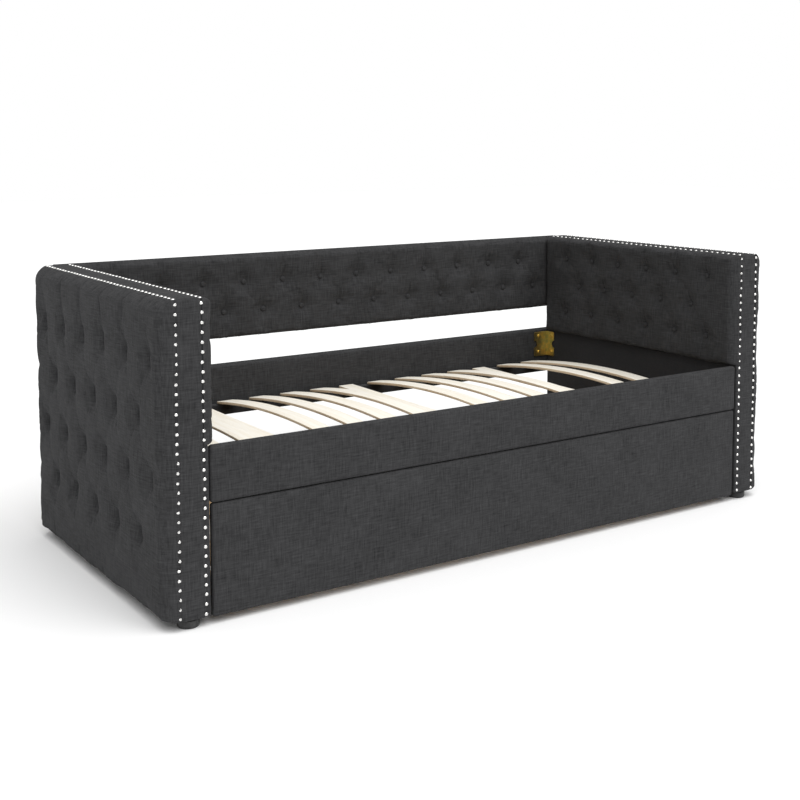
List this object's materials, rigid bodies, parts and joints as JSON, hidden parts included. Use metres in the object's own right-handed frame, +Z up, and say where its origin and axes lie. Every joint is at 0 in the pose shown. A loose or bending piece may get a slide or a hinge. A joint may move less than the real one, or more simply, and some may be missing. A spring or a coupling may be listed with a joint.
{
  "type": "daybed",
  "caption": "Upholstered twin daybed with tufted arms and back, sprung wooden slats, nail-head trim and a rolling trundle under the front rail.",
  "frame": {"origin": "on the floor at the centre of the footprint", "axes": "+X along the length towards the arm at the sitter's left, +Y towards the back panel, +Z up; the front rail and the trundle face -Y"},
  "size_m": [2.174, 1.05, 0.84],
  "materials": {
    "linen": "charcoal grey linen-look weave, matt",
    "black_cloth": "black lining cloth, matt",
    "birch": "pale birch plywood, fine sanded, unlacquered",
    "pine": "planed pine and plywood",
    "black_plastic": "black moulded plastic, satin",
    "rubber": "dark grey tread, matt",
    "yellow_zinc": "yellow passivated zinc plate, satin",
    "nail_heads": "bright nickel-plated domes"
  },
  "bodies": {
    "bed_frame": {"left_arm_frame": "pine", "left_arm_outer_pad": "linen", "left_arm_inner_pad": "linen", "left_arm_liner": "black_cloth", "left_arm_front_facing": "linen", "left_arm_top_facing": "linen", "left_arm_rear_facing": "linen", "right_arm_frame": "pine", "right_arm_outer_pad": "linen", "right_arm_inner_pad": "linen", "right_arm_liner": "black_cloth", "right_arm_front_facing": "linen", "right_arm_top_facing": "linen", "right_arm_rear_facing": "linen", "front_left_foot": "black_plastic", "front_left_bracket": "yellow_zinc", "front_right_foot": "black_plastic", "front_right_bracket": "yellow_zinc", "rear_left_foot": "black_plastic", "rear_left_bracket": "yellow_zinc", "rear_right_foot": "black_plastic", "rear_right_bracket": "yellow_zinc", "back_pad": "linen", "back_frame": "pine", "back_cover": "linen", "front_rail": "linen", "back_rail": "linen", "front_slat_ledger": "black_cloth", "back_slat_ledger": "black_cloth", "slat_01": "birch", "slat_02": "birch", "cross_bar_03": "birch", "slat_04": "birch", "slat_05": "birch", "slat_06": "birch", "slat_07": "birch", "cross_bar_08": "birch", "slat_09": "birch", "slat_10": "birch", "slat_11": "birch", "slat_12": "birch", "cross_bar_13": "birch", "slat_14": "birch", "slat_15": "birch"},
    "trundle": {"trundle_front_panel": "linen", "trundle_left_board": "pine", "trundle_right_board": "pine", "trundle_front_batten": "pine", "trundle_back_board": "pine", "trundle_deck_slats": "birch", "front_left_caster_fork": "black_plastic", "front_right_caster_fork": "black_plastic", "rear_left_caster_fork": "black_plastic", "rear_right_caster_fork": "black_plastic"},
    "front_left_caster_wheel": {"front_left_caster_wheel": "rubber"},
    "front_right_caster_wheel": {"front_right_caster_wheel": "rubber"},
    "rear_left_caster_wheel": {"rear_left_caster_wheel": "rubber"},
    "rear_right_caster_wheel": {"rear_right_caster_wheel": "rubber"}
  },
  "joints": [
    {"name": "trundle_slide", "type": "slide", "parent": "bed_frame", "child": "trundle", "axis": [0, -1, 0], "range_m": [0, 1.05]},
    {"name": "front_left_caster_roll", "type": "hinge", "parent": "trundle", "child": "front_left_caster_wheel", "pos_m": [-0.934, -0.44, 0.025], "axis": [1, 0, 0], "continuous": true},
    {"name": "front_right_caster_roll", "type": "hinge", "parent": "trundle", "child": "front_right_caster_wheel", "pos_m": [0.934, -0.44, 0.025], "axis": [1, 0, 0], "continuous": true},
    {"name": "rear_left_caster_roll", "type": "hinge", "parent": "trundle", "child": "rear_left_caster_wheel", "pos_m": [-0.934, 0.44, 0.025], "axis": [1, 0, 0], "continuous": true},
    {"name": "rear_right_caster_roll", "type": "hinge", "parent": "trundle", "child": "rear_right_caster_wheel", "pos_m": [0.934, 0.44, 0.025], "axis": [1, 0, 0], "continuous": true}
  ],
  "couplings": [
    {"joint": "front_left_caster_roll", "follows": "trundle_slide", "rad_per_m": 40},
    {"joint": "front_right_caster_roll", "follows": "trundle_slide", "rad_per_m": 40},
    {"joint": "rear_left_caster_roll", "follows": "trundle_slide", "rad_per_m": 40},
    {"joint": "rear_right_caster_roll", "follows": "trundle_slide", "rad_per_m": 40}
  ]
}
